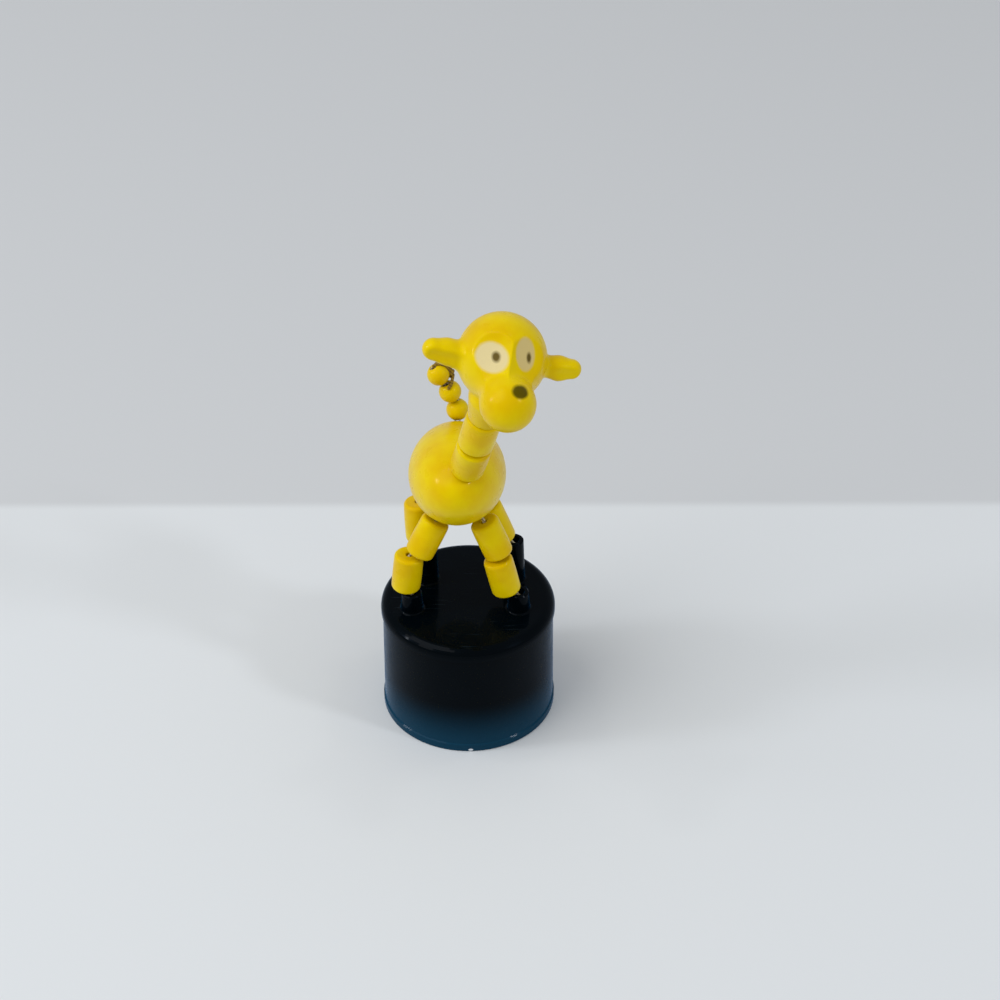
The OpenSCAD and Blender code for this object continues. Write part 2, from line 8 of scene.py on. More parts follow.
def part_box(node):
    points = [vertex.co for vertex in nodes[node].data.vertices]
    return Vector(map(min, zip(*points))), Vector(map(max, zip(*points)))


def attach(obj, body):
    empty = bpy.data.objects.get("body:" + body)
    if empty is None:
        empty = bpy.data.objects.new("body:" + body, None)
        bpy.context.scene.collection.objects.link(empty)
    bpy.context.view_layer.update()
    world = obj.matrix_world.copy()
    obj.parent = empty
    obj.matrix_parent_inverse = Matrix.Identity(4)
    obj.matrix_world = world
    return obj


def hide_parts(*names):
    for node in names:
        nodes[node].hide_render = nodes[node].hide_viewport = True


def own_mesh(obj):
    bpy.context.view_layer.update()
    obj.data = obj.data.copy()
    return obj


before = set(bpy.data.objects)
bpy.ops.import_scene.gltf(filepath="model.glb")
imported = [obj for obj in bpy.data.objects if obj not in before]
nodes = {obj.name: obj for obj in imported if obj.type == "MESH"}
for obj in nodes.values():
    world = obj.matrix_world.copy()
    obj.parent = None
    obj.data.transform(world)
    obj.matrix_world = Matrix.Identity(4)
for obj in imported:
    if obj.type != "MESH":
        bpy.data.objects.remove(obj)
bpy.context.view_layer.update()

for leftover in ("Cube", "Light", "Camera"):
    if leftover in bpy.data.objects:
        bpy.data.objects.remove(bpy.data.objects[leftover])

scene = bpy.context.scene
scene.view_settings.view_transform = "Standard"
mm = 0.001


# sRGB hex to linear light: divide by 12.92 near black, else raise ((s + 0.055) / 1.055) to 2.4
def linear(hexColour):
    s = np.array([int(hexColour[i:i + 2], 16) for i in (1, 3, 5)]) / 255
    light = np.where(s <= 0.04045, s / 12.92, ((s + 0.055) / 1.055) ** 2.4)
    return (*light.tolist(), 1.0)


# Adds one shader node; an input is linked when it is given a socket and set when it is given a value
def addNode(tree, kind, settings=None, inputs=None):
    node = tree.nodes.new("ShaderNode" + kind)
    for key, value in (settings or {}).items():
        setattr(node, key, value)
    for key, value in (inputs or {}).items():
        if isinstance(value, bpy.types.NodeSocket):
            tree.links.new(value, node.inputs[key])
        else:
            node.inputs[key].default_value = value
    return node


# An empty material with its shader and output joined
def newMaterial(name):
    material = bpy.data.materials.new(name)
    material.use_nodes = True
    tree = material.node_tree
    tree.nodes.clear()
    shader = addNode(tree, "BsdfPrincipled")
    addNode(tree, "OutputMaterial", inputs={"Surface": shader.outputs[0]})
    return material, tree, shader


# Quads that join a grid of rows and wrapped columns; with wrapRows the last row joins the first
def gridQuads(rows, columns, wrapRows):
    i, j = np.meshgrid(np.arange(rows if wrapRows else rows - 1), np.arange(columns), indexing="ij")
    up, right = (i + 1) % rows, (j + 1) % columns
    corners = [i * columns + j, i * columns + right, up * columns + right, up * columns + j]
    return np.stack(corners, -1).reshape(-1, 4)


# A closed surface from grid points in millimetres. Its columns run round; its rows either run round
# as well, or end in two poles, where a whole row shares one point. The signed volume, the sum of
# each triangle's corner products over six, tells which way the faces must turn to look outwards.
def gridPiece(name, points, material, body, replaced=(), ring=False):
    rows, columns = points.shape[:2]
    if ring:
        vertices = points.reshape(-1, 3)
        quads = gridQuads(rows, columns, True)
        caps = np.zeros((0, 3), int)
    else:
        vertices = np.vstack([points[1:-1].reshape(-1, 3), points[0].mean(0), points[-1].mean(0)])
        quads = gridQuads(rows - 2, columns, False)
        j = np.arange(columns)
        after = (j + 1) % columns
        first, last = len(vertices) - 2, len(vertices) - 1
        low = (rows - 3) * columns
        caps = np.vstack([np.stack([np.full(columns, first), after, j], -1),
                          np.stack([np.full(columns, last), low + j, low + after], -1)])
    a, b, c, d = (vertices[quads[:, k]] for k in range(4))
    volume = np.einsum("ij,ij->", a, np.cross(b, c)) + np.einsum("ij,ij->", a, np.cross(c, d))
    if volume < 0:
        quads, caps = quads[:, ::-1], caps[:, ::-1]
    mesh = bpy.data.meshes.new(name)
    mesh.from_pydata((vertices * mm).tolist(), [], quads.tolist() + caps.tolist())
    mesh.polygons.foreach_set("use_smooth", np.ones(len(mesh.polygons), bool))
    mesh.materials.append(material)
    mesh.update()
    piece = bpy.data.objects.new(name, mesh)
    scene.collection.objects.link(piece)
    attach(piece, body)
    if replaced:
        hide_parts(*replaced)
    return piece


# Middle of a node's box, in millimetres
def middleOf(node):
    low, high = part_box(node)
    return np.array((low + high) / 2) / mm


# Direction of an axis that leans lean[0] degrees to the right and lean[1] to the front
def axisOf(lean):
    side, front = np.radians(lean)
    return np.array([np.cos(front) * np.sin(side), -np.sin(front), np.cos(front) * np.cos(side)])


# Two unit vectors square to the axis and to each other
def squareTo(axis):
    across = np.cross([0.0, 1.0, 0.0], axis)
    across /= np.linalg.norm(across)
    return across, np.cross(axis, across)


gloss = {"detail": 4.0, "noiseFrom": 0.35, "noiseTo": 0.7}


# Where the mould's gloss dulls: noise on Object coordinates, mapped between two roughnesses
def unevenGloss(tree, coordinates, size, low, high):
    noise = addNode(tree, "TexNoise",
                    inputs={"Vector": coordinates, "Scale": 1 / (size * mm), "Detail": gloss["detail"]})
    spread = {"From Min": gloss["noiseFrom"], "From Max": gloss["noiseTo"], "To Min": low, "To Max": high}
    return addNode(tree, "MapRange", inputs={"Value": noise.outputs[0], **spread}).outputs[0]


paint = {"fraySize": 0.9, "frayDetail": 3.0}


# A painted spot: one inside an ellipsoid with its own place, turn and half sizes in millimetres, none
# outside. The Mapping node of kind TEXTURE makes the ellipsoid a unit ball; noise frays its edge.
def spotMask(tree, coordinates, place, turn, halfSizes, soft, fray):
    ball = addNode(tree, "Mapping", {"vector_type": "TEXTURE"},
                   {"Vector": coordinates, "Location": Vector(place) * mm, "Rotation": turn,
                    "Scale": Vector(halfSizes) * mm})
    distance = addNode(tree, "VectorMath", {"operation": "LENGTH"}, {0: ball.outputs[0]})
    noise = addNode(tree, "TexNoise", inputs={"Vector": coordinates, "Scale": 1 / (paint["fraySize"] * mm),
                                              "Detail": paint["frayDetail"]})
    frayed = addNode(tree, "Math", {"operation": "MULTIPLY_ADD"},
                     {0: noise.outputs[0], 1: fray, 2: distance.outputs["Value"]})
    edge = {"From Min": 1 - soft + fray / 2, "From Max": 1 + soft + fray / 2, "To Min": 1.0, "To Max": 0.0}
    return addNode(tree, "MapRange", inputs={"Value": frayed.outputs[0], **edge}).outputs[0]


# Mixes two colours, each a hex value or a socket
def mixColours(tree, factor, low, high):
    mix = addNode(tree, "Mix", {"data_type": "RGBA"}, {0: factor})
    for key, colour in ((6, low), (7, high)):
        if isinstance(colour, str):
            mix.inputs[key].default_value = linear(colour)
        else:
            tree.links.new(colour, mix.inputs[key])
    return mix.outputs[2]


yellow = {
    "colour": "#e2c600", "thin": "#dab400", "worn": "#c79800",
    "cloudSize": 5.0, "cloudFrom": 0.4, "cloudTo": 0.65,
    "speckSize": 0.35, "speckFrom": 0.7, "speckTo": 0.8, "speckStrength": 0.2,
    "peelSize": 0.9, "peelHeight": 0.006, "peelStrength": 0.5,
    "roughness": (0.26, 0.38), "glossSize": 1.6, "specular": 0.2, "tint": "#ffd850",
    "coat": 0.06, "coatRoughness": 0.08,
}


# Moulded polystyrene under a thick coat of yellow lacquer: deep warm colour where the coat is thick,
# a little duller where it is thin, with the faint peel of sprayed lacquer in its highlights
def yellowLacquer(name, spots=()):
    material, tree, shader = newMaterial(name)
    at = addNode(tree, "TexCoord").outputs["Object"]
    clouds = addNode(tree, "TexNoise",
                     inputs={"Vector": at, "Scale": 1 / (yellow["cloudSize"] * mm), "Detail": 3.0})
    coat = addNode(tree, "MapRange", inputs={"Value": clouds.outputs[0], "From Min": yellow["cloudFrom"],
                                             "From Max": yellow["cloudTo"]})
    specks = addNode(tree, "TexNoise",
                     inputs={"Vector": at, "Scale": 1 / (yellow["speckSize"] * mm), "Detail": 2.0})
    speck = addNode(tree, "MapRange", inputs={"Value": specks.outputs[0], "From Min": yellow["speckFrom"],
                                              "From Max": yellow["speckTo"],
                                              "To Max": yellow["speckStrength"]})
    colour = mixColours(tree, coat.outputs[0], yellow["colour"], yellow["thin"])
    colour = mixColours(tree, speck.outputs[0], colour, yellow["worn"])
    for spot in spots:
        mask = spotMask(tree, at, spot["place"], spot["turn"], spot["halfSizes"], spot["soft"], spot["fray"])
        colour = mixColours(tree, mask, colour, spot["colour"])
    peel = addNode(tree, "TexNoise",
                   inputs={"Vector": at, "Scale": 1 / (yellow["peelSize"] * mm), "Detail": 2.0})
    bump = addNode(tree, "Bump", inputs={"Strength": yellow["peelStrength"],
                                         "Distance": yellow["peelHeight"] * mm, "Height": peel.outputs[0]})
    tree.links.new(colour, shader.inputs["Base Color"])
    roughness = unevenGloss(tree, at, yellow["glossSize"], *yellow["roughness"])
    tree.links.new(roughness, shader.inputs["Roughness"])
    tree.links.new(bump.outputs[0], shader.inputs["Normal"])
    shader.inputs["Specular IOR Level"].default_value = yellow["specular"]
    shader.inputs["Specular Tint"].default_value = linear(yellow["tint"])
    shader.inputs["Coat Weight"].default_value = yellow["coat"]
    shader.inputs["Coat Roughness"].default_value = yellow["coatRoughness"]
    return material


# the foot colour is a painted reflection, blue low on the drum's wall
dark = {
    "colour": "#010406", "foot": "#10384d", "scratch": "#2f3b45", "paleSpot": "#d8dce0",
    "roughness": (0.2, 0.32), "glossSize": 3.0, "specular": 0.02, "tint": "#a9cdff",
    "waveSize": 2.5, "waveDepth": 0.004, "waveStrength": 0.35,
    "coat": 0.07, "coatRoughness": 0.05, "sheen": 0.5, "sheenRoughness": 0.28, "sheenTint": "#2f86c8",
    "footReflectionHeight": 9.0, "topPlate": 18.9, "plateEdge": 0.15,
    "paleSpotPlace": (0.35, -12.62, 0.35), "paleSpotHalf": (0.33, 0.3, 0.2), "paleSpotSoft": 0.2, "paleSpotFray": 0.5,
    "scratchTurn": 0.1, "scratchLength": 6.0, "scratchWidth": 0.09, "scratchFrom": 0.68, "scratchTo": 0.78,
    "patchSize": 6.0, "patchFrom": 0.45, "patchTo": 0.6,
}


# Moulded black polystyrene with a blue cast: near black, and bluer towards the foot as a painted
# reflection of the pale table below; a blue sheen where its wall turns away; the top plate has fine
# scratches, and the foot a small near-white spot at its front
def blackStyrene(name, scratched=True):
    material, tree, shader = newMaterial(name)
    at = addNode(tree, "TexCoord").outputs["Object"]
    apart = addNode(tree, "SeparateXYZ", inputs={0: at})
    # painted reflection: the colour turns from near black to blue towards the foot
    height = addNode(tree, "MapRange", {"interpolation_type": "SMOOTHSTEP"},
                     {"Value": apart.outputs[2], "From Min": 0.0, "From Max": dark["footReflectionHeight"] * mm,
                      "To Min": 1.0, "To Max": 0.0})
    colour = mixColours(tree, height.outputs[0], dark["colour"], dark["foot"])
    waves = addNode(tree, "TexNoise",
                    inputs={"Vector": at, "Scale": 1 / (dark["waveSize"] * mm), "Detail": 2.0})
    if scratched:
        along, across = 1 / (dark["scratchLength"] * mm), 1 / (dark["scratchWidth"] * mm)
        drawn = addNode(tree, "Mapping", inputs={"Vector": at, "Rotation": (0, 0, dark["scratchTurn"]),
                                                 "Scale": (along, across, across)})
        lines = addNode(tree, "TexNoise", inputs={"Vector": drawn.outputs[0], "Scale": 1.0, "Detail": 2.0})
        fine = addNode(tree, "MapRange", inputs={"Value": lines.outputs[0], "From Min": dark["scratchFrom"],
                                                 "From Max": dark["scratchTo"]})
        patch = addNode(tree, "TexNoise",
                        inputs={"Vector": at, "Scale": 1 / (dark["patchSize"] * mm), "Detail": 1.0})
        where = addNode(tree, "MapRange", inputs={"Value": patch.outputs[0], "From Min": dark["patchFrom"],
                                                  "From Max": dark["patchTo"]})
        plate = {"From Min": dark["topPlate"] * mm, "From Max": (dark["topPlate"] + dark["plateEdge"]) * mm}
        onTop = addNode(tree, "MapRange", inputs={"Value": apart.outputs[2], **plate})
        both = addNode(tree, "Math", {"operation": "MULTIPLY"}, {0: fine.outputs[0], 1: where.outputs[0]})
        scratch = addNode(tree, "Math", {"operation": "MULTIPLY"}, {0: both.outputs[0], 1: onTop.outputs[0]})
        colour = mixColours(tree, scratch.outputs[0], colour, dark["scratch"])
        # a small near-white spot at the front of the foot
        paleSpot = spotMask(tree, at, dark["paleSpotPlace"], (0, 0, 0), dark["paleSpotHalf"], dark["paleSpotSoft"],
                        dark["paleSpotFray"])
        colour = mixColours(tree, paleSpot, colour, dark["paleSpot"])
    bump = addNode(tree, "Bump", inputs={"Strength": dark["waveStrength"], "Distance": dark["waveDepth"] * mm,
                                         "Height": waves.outputs[0]})
    tree.links.new(colour, shader.inputs["Base Color"])
    roughness = unevenGloss(tree, at, dark["glossSize"], *dark["roughness"])
    tree.links.new(roughness, shader.inputs["Roughness"])
    tree.links.new(bump.outputs[0], shader.inputs["Normal"])
    shader.inputs["Specular IOR Level"].default_value = dark["specular"]
    shader.inputs["Specular Tint"].default_value = linear(dark["tint"])
    shader.inputs["Coat Weight"].default_value = dark["coat"]
    shader.inputs["Coat Roughness"].default_value = dark["coatRoughness"]
    shader.inputs["Sheen Weight"].default_value = dark["sheen"]
    shader.inputs["Sheen Roughness"].default_value = dark["sheenRoughness"]
    shader.inputs["Sheen Tint"].default_value = linear(dark["sheenTint"])
    return material


thread = {
    "colour": "#d9cfae", "shade": "#8d7a52", "aged": "#93760c", "agedShade": "#6b4f06",
    "plyPitch": 0.32, "plyScale": 0.3,  # wave scale times pitch; the bands lie about 1.2 pitches apart
    "plyDepth": 0.03, "plyWander": 1.5, "fluffSize": 0.12, "fluff": 0.5, "shadeFrom": 0.3, "shadeTo": 1.3,
    "relief": 0.8, "glazed": 0.2, "roughness": 0.85,
}


# Twisted cotton cord: a soft matt off-white with the slanting plies of its twist, which drips of
# lacquer have turned brown and smooth at the tail
def cottonCord(name, colour, shadeColour, relief):
    material, tree, shader = newMaterial(name)
    at = addNode(tree, "TexCoord").outputs["Object"]
    plies = addNode(tree, "TexWave", {"bands_direction": "DIAGONAL"},
                    {"Vector": at, "Scale": thread["plyScale"] / (thread["plyPitch"] * mm),
                     "Distortion": thread["plyWander"], "Detail": 2.0})
    fluff = addNode(tree, "TexNoise",
                    inputs={"Vector": at, "Scale": 1 / (thread["fluffSize"] * mm), "Detail": 3.0})
    mixed = addNode(tree, "Math", {"operation": "MULTIPLY_ADD"},
                    {0: fluff.outputs[0], 1: thread["fluff"], 2: plies.outputs[1]})
    # painted shade: the colour darkens towards the shade colour in the grooves between the plies, with the
    # fluff noise adding random tone
    shade = addNode(tree, "MapRange", inputs={"Value": mixed.outputs[0], "From Min": thread["shadeFrom"],
                                              "From Max": thread["shadeTo"]})
    bump = addNode(tree, "Bump", inputs={"Strength": relief, "Distance": thread["plyDepth"] * mm,
                                         "Height": mixed.outputs[0]})
    tree.links.new(mixColours(tree, shade.outputs[0], shadeColour, colour), shader.inputs["Base Color"])
    tree.links.new(bump.outputs[0], shader.inputs["Normal"])
    shader.inputs["Roughness"].default_value = thread["roughness"]
    return material


wire = {"dull": "#8f959b", "bright": "#c8ccd0", "lineSize": 0.15, "roughness": (0.22, 0.42), "glossSize": 0.4}


# Cold-drawn spring steel: a bright metal with fine lines along the wire and a slight blue-grey cast
def drawnSteel(name):
    material, tree, shader = newMaterial(name)
    at = addNode(tree, "TexCoord").outputs["Object"]
    lines = addNode(tree, "TexNoise",
                    inputs={"Vector": at, "Scale": 1 / (wire["lineSize"] * mm), "Detail": 4.0})
    colour = mixColours(tree, lines.outputs[0], wire["dull"], wire["bright"])
    roughness = unevenGloss(tree, at, wire["glossSize"], *wire["roughness"])
    tree.links.new(colour, shader.inputs["Base Color"])
    tree.links.new(roughness, shader.inputs["Roughness"])
    shader.inputs["Metallic"].default_value = 1.0
    return material


lacquer = yellowLacquer("yellow_lacquer")
styrene = blackStyrene("black_styrene")
buttonStyrene = blackStyrene("black_styrene_button", scratched=False)
cotton = cottonCord("cotton_cord", thread["colour"], thread["shade"], thread["relief"])
agedCotton = cottonCord("cotton_cord_aged", thread["aged"], thread["agedShade"], thread["glazed"])
steel = drawnSteel("drawn_spring_steel")
print("materials made")


beads = {
    "round": 0.5, "mouthRound": 0.15, "edge": 0.08, "footMouth": 1.45, "footDepth": 2.0,
    "barrel": 0.05, "wobble": 0.015, "secondWave": 0.5, "edgeFrom": 215, "edgeSteps": 4,
    "coneSteps": 8, "wallSteps": 9, "boreSteps": 5, "columns": 96, "seed": 11,
    "turned": {  # node: body, lean to the right and the front, diameter, length, bore radius
        "front_left_lower_bead": ("front_left_lower", (6, 0), 4.3, 6.0, 0.45),
        "front_left_upper_bead": ("front_left_upper", (26, -9), 4.3, 6.0, 0.45),
        "front_right_lower_bead": ("front_right_lower", (-13, 0), 4.3, 6.0, 0.45),
        "front_right_upper_bead": ("front_right_upper", (-22, -5), 4.3, 6.0, 0.45),
        "rear_left_bead": ("rear_left", (-2, -4), 4.3, 6.4, 0.45),
        "rear_right_bead": ("rear_right", (-21, -2), 4.3, 6.4, 0.45),
        "neck_lower_bead": ("neck_lower", (12, 22), 5.0, 6.0, 0.6),
        "neck_upper_bead": ("neck_upper", (13, 14), 5.0, 6.0, 0.6),
    },
}


# Points of an arc about a middle, from angle a to angle b in degrees
def arc(middle, radius, a, b, steps=10):
    t = np.radians(np.linspace(a, b, steps))
    return np.stack([middle[0] + radius * np.cos(t), middle[1] + radius * np.sin(t)], -1)


# A bead is a closed profile of radius and height, turned about its axis. The profile goes down the
# cone of the foot's wide mouth, round its edge, over the foot, up the wall and down the bore, and the
# wall swells in the middle like a parabola. The radius gets a slow wave round the axis, the sum of
# two sines less their highest value, as beads from an old mould aren't quite true. The swell and the
# wave fade to none at the bore by the square of the way out.
def turnedBead(name, body, lean, diameter, length, b, random):
    r, outer, lip, edge = diameter / 2, beads["round"], beads["mouthRound"], beads["edge"]
    mouth, depth = beads["footMouth"], beads["footDepth"]
    down, up, back = beads["coneSteps"], beads["wallSteps"], beads["boreSteps"]
    cone = np.stack([np.linspace(b, mouth - edge, down), np.linspace(depth, edge, down)], -1)
    wall = np.stack([np.full(up, r), np.linspace(outer, length - outer, up + 2)[1:-1]], -1)
    bore = np.stack([np.full(back, b), np.linspace(length - lip, depth, back + 2)[1:-1]], -1)
    profile = np.vstack([cone, arc((mouth + edge, edge), edge, beads["edgeFrom"], 270, beads["edgeSteps"]),
                         arc((r - outer, outer), outer, 270, 360), wall,
                         arc((r - outer, length - outer), outer, 0, 90),
                         arc((b + lip, length - lip), lip, 90, 180), bore])
    around = 2 * np.pi * np.arange(beads["columns"]) / beads["columns"]
    radius, height = profile[:, :1], profile[:, 1:] - length / 2
    outward = np.clip((radius - b) / (r - b), 0, 1) ** 2
    swell = -beads["barrel"] * (2 * height / length) ** 2
    phases = random.uniform(0, 2 * np.pi, 2)
    second = beads["secondWave"]
    sines = np.sin(2 * around + phases[0]) + second * np.sin(3 * around + phases[1] + height)
    wave = beads["wobble"] * sines
    radius = radius + outward * (swell + wave - (1 + second) * beads["wobble"])
    axis = axisOf(lean)
    across, along = squareTo(axis)
    circle = np.cos(around)[:, None] * across + np.sin(around)[:, None] * along
    points = middleOf(name) + radius[..., None] * circle + height[..., None] * axis
    return gridPiece(name + "_turned", points, lacquer, body, [name], ring=True)


random = np.random.default_rng(beads["seed"])
for name, form in beads["turned"].items():
    turnedBead(name, *form, random)
print("leg and neck beads turned")


tail = {
    "radius": 1.6, "boreRadius": 0.55, "lip": 0.15, "rows": 40, "columns": 72, "lipSteps": 6, "boreSteps": 4,
    "beads": {"tail_bead_1": ("tail_1", (-9, -20)), "tail_bead_2": ("tail_2", (-24, -2)),
              "tail_bead_3": ("tail_3", (-30, -3))},
    "knotMiddle": (1.8, 0.3, 0.05), "knotTurn": -60, "knotSize": 0.22, "pull": 0.75, "knotDepth": 1.2,
    "knotGap": 0.35, "knotSteps": 60, "cordRadius": 0.22, "cordStep": 0.07, "smoothings": 12,
    "mouthToKnot": ((-0.45, 0.05, 0.8), (-0.75, 0.08, 1.4), (0.05, 0.0, 1.85), (1.15, 0.1, 1.55)),
    "shortEnd": ((2.0, -0.1, -0.6), (1.85, -0.5, -1.25)),
    "longEnd": ((2.1, 0.0, -0.2), (1.8, -0.9, -1.15), (1.45, -1.35, -1.5)),
    "aside": (0.3, 0.35, 0.1),  # from the tied cord to the one beside it
}


# A round tail bead: half a circle that stops short of the axis and goes back down the bore, turned
# about the axis, with the corner between ball and bore rounded by an arc
def roundBead(name, body, lean):
    r, b, lip = tail["radius"], tail["boreRadius"], tail["lip"]
    stop = np.degrees(np.arcsin((b + lip) / r))
    ball = arc((0, 0), r, -90 + stop, 90 - stop, tail["rows"])
    top = ball[-1, 1]
    edge = arc((b + lip, top - lip), lip, 90, 180, tail["lipSteps"])[1:]
    steps = tail["boreSteps"]
    bore = np.stack([np.full(steps, b), np.linspace(top - lip, lip - top, steps + 2)[1:-1]], -1)
    profile = np.vstack([ball, edge, bore, edge[::-1] * [1, -1]])
    around = 2 * np.pi * np.arange(tail["columns"]) / tail["columns"]
    axis = axisOf(lean)
    across, along = squareTo(axis)
    circle = np.cos(around)[:, None] * across + np.sin(around)[:, None] * along
    points = middleOf(name) + profile[:, :1, None] * circle + profile[:, 1:, None] * axis
    return gridPiece(name + "_turned", points, lacquer, body, [name], ring=True)


for name, (body, lean) in tail["beads"].items():
    roundBead(name, body, lean)


# A tube round a path: each ring is the path's point plus radius times cos and sin of the angle along
# two directions square to the path, which are carried from ring to ring; its ends close in half balls
def tube(path, radius, sides=14, capRings=6):
    forward = np.gradient(path, axis=0)
    forward /= np.linalg.norm(forward, axis=1)[:, None]
    side = [np.cross(forward[0], [1.0, 0.0, 0.0])]
    for step in forward:
        carried = side[-1] - (side[-1] @ step) * step
        side.append(carried / np.linalg.norm(carried))
    side = np.array(side[1:])
    square = np.cross(forward, side)
    ends = np.radians(np.linspace(0, 90, capRings))[::-1]
    middles = np.vstack([path[0] - radius * np.sin(ends)[:, None] * forward[0], path[1:-1],
                         path[-1] + radius * np.sin(ends[::-1])[:, None] * forward[-1]])
    last = len(path) - 1
    radii = np.concatenate([radius * np.cos(ends), np.full(last - 1, radius), radius * np.cos(ends[::-1])])
    pick = np.concatenate([np.zeros(capRings, int), np.arange(1, last), np.full(capRings, last)])
    around = 2 * np.pi * np.arange(sides) / sides
    ring = np.cos(around)[:, None] * side[pick][:, None] + np.sin(around)[:, None] * square[pick][:, None]
    return middles[:, None] + radii[:, None, None] * ring


# The tail's cords come out of the last bead's bore and pass over the bead. Each path goes straight from
# point to point and is then smoothed by averaging neighbours.
def tailCord(points):
    points = np.array(points)
    far = np.concatenate([[0], np.cumsum(np.linalg.norm(np.diff(points, axis=0), axis=1))])
    even = np.linspace(0, far[-1], int(far[-1] / tail["cordStep"]))
    path = np.stack([np.interp(even, far, points[:, k]) for k in range(3)], -1)
    for turn in range(tail["smoothings"]):
        path[1:-1] = (path[:-2] + 2 * path[1:-1] + path[2:]) / 4
    return tube(path + middleOf("tail_bead_3"), tail["cordRadius"])


# One cord is tied in an overhand knot: an open trefoil, whose x is sin t + 2 sin 2t, drawn in by the
# pull, whose y is minus the knot's depth times sin 3t and whose z is cos t - 2 cos 2t
t = np.linspace(tail["knotGap"], 2 * np.pi - tail["knotGap"], tail["knotSteps"])
trefoil = tail["knotSize"] * np.stack([np.sin(t) + 2 * np.sin(2 * t), -tail["knotDepth"] * np.sin(3 * t),
                                       np.cos(t) - 2 * np.cos(2 * t)], -1) * [tail["pull"], 1.0, 1.0]
trefoil = trefoil @ np.array(Euler((0, 0, math.radians(tail["knotTurn"]))).to_matrix()).T
knotted = [*tail["mouthToKnot"], *(trefoil + tail["knotMiddle"]), *tail["shortEnd"]]
gridPiece("tail_knot_tied", tailCord(knotted), agedCotton, "tail_3", ["tail_knot"])
plain = [*(np.array(tail["mouthToKnot"]) + tail["aside"]), *tail["longEnd"]]
gridPiece("tail_cord_end", tailCord(plain), agedCotton, "tail_3")
print("tail beads turned and knot tied")


bodyForm = {
    "radius": 6.9, "half": 11.7, "pitch": 21, "tailLean": (0, -38),
    "mouthRadius": 0.85, "mouthDepth": 2.2, "mouthEdge": 0.3, "rows": 260, "columns": 320,
    "hips": ["front_left_upper_bead", "front_right_upper_bead", "rear_left_bead", "rear_right_bead"],
}


# The end of a bead along its axis: its middle plus or minus half its length
def endOf(name, sign):
    _, lean, _, length, _ = beads["turned"][name]
    return middleOf(name) + sign * length / 2 * axisOf(lean)


# The body is an ellipsoid of revolution about its long axis. Each string mouth is a round dent whose
# depth goes from full to none by a smooth step across its edge, pressed towards the body's middle.
def bodySurface():
    tilt = math.radians(bodyForm["pitch"])
    nose = np.array([0, -math.cos(tilt), math.sin(tilt)])
    back = np.array([0, math.sin(tilt), math.cos(tilt)])
    middle = middleOf("body")
    t = np.linspace(0, np.pi, bodyForm["rows"])[:, None]
    p = 2 * np.pi * np.arange(bodyForm["columns"])[None] / bodyForm["columns"]
    spot = (bodyForm["radius"] * (np.sin(t) * np.cos(p))[..., None] * np.array([1.0, 0, 0])
            + bodyForm["radius"] * (np.sin(t) * np.sin(p))[..., None] * back
            + bodyForm["half"] * (np.cos(t) * np.ones_like(p))[..., None] * nose)
    tailFoot = middleOf("tail_bead_1") - tail["radius"] * axisOf(bodyForm["tailLean"])
    mouths = [endOf(hip, 1) for hip in bodyForm["hips"]] + [endOf("neck_lower_bead", -1), tailFoot]
    for mouth in mouths:
        away = np.linalg.norm(spot - (mouth - middle), axis=-1)
        s = np.clip((bodyForm["mouthRadius"] + bodyForm["mouthEdge"] - away) / bodyForm["mouthEdge"], 0, 1)
        depth = bodyForm["mouthDepth"] * s * s * (3 - 2 * s)
        spot = spot * (1 - depth / np.linalg.norm(spot, axis=-1))[..., None]
    return spot + middle


gridPiece("body_shell", bodySurface(), lacquer, "body", ["body"])
print("body made")


head = {
    "overNeck": (2.3, 1.2, 8.7), "seat": 0.06, "tip": (-25.5, 11.5, 8.5),
    "skull": 6.05, "crownAt": (0, 0.35, 0.3), "crown": 5.85, "muzzleAt": (0.33, -5.9, -4.95), "muzzle": 3.75,
    "cheek": ((-0.3, -1.3, -1.4), 4.45, (0.2, -4.9, -3.9), 3.3),
    "leftEar": ((4.45, 0.0, -0.5, 2.2), (7.6, -0.1, -0.1, 1.75), (9.45, -0.3, 0.0, 1.5)),
    "rightEar": ((4.6, 0.0, -0.2, 1.4), (7.9, -0.1, -0.25, 1.65), (9.6, -0.3, -0.1, 1.35)),
    "earSoft": 0.7, "muzzleSoft": 0.8, "cheekSoft": 0.8, "crownSoft": 0.3, "flapSoft": 0.4,
    "throat": (2.3, 3.1, 4.0), "throatSoft": 0.3,
    "looks": ((-26.5, 14), (21, 12)), "facet": 26.0, "facetDepth": 0.85, "facetSoft": 0.12,
    "groove": ((6.0, -3.7, -1.9), 2.4, (9.8, -3.3, -1.5), 2.3), "grooveSoft": 0.4,
    "rows": 320, "columns": 300, "fan": 0.45, "slide": 0.85, "rayAngle": 45, "tipInset": 0.1, "droop": 0.02,
    "rayLength": 14.0, "halvings": 26,
}

turnOfHead = (Euler((0, math.radians(head["tip"][1]), 0)).to_matrix()
              @ Euler((math.radians(head["tip"][0]), 0, 0)).to_matrix()
              @ Euler((0, 0, math.radians(head["tip"][2]))).to_matrix())
headTurn = np.array(turnOfHead)
neckAxis = axisOf(beads["turned"]["neck_upper_bead"][1])
neckTop = endOf("neck_upper_bead", 1) + head["seat"] * neckAxis
headMiddle = neckTop + head["overNeck"]


# Smooth joining of two distances: their mix by h, less k h (1 - h), where h goes from 0 to 1 as b - a
# goes from -k to k. Further apart than k, that is the smaller one.
def joined(a, b, k):
    h = np.clip(0.5 + 0.5 * (b - a) / k, 0, 1)
    return b * (1 - h) + a * h - k * h * (1 - h)


# Distance to a rod whose radius goes evenly from r1 at p1 to r2 at p2
def rod(q, p1, r1, p2, r2):
    p1, p2 = np.array(p1, float), np.array(p2, float)
    d = p2 - p1
    t = np.clip((q - p1) @ d / (d @ d), 0, 1)
    return np.linalg.norm(q - p1 - t[..., None] * d, axis=-1) - (r1 + (r2 - r1) * t)


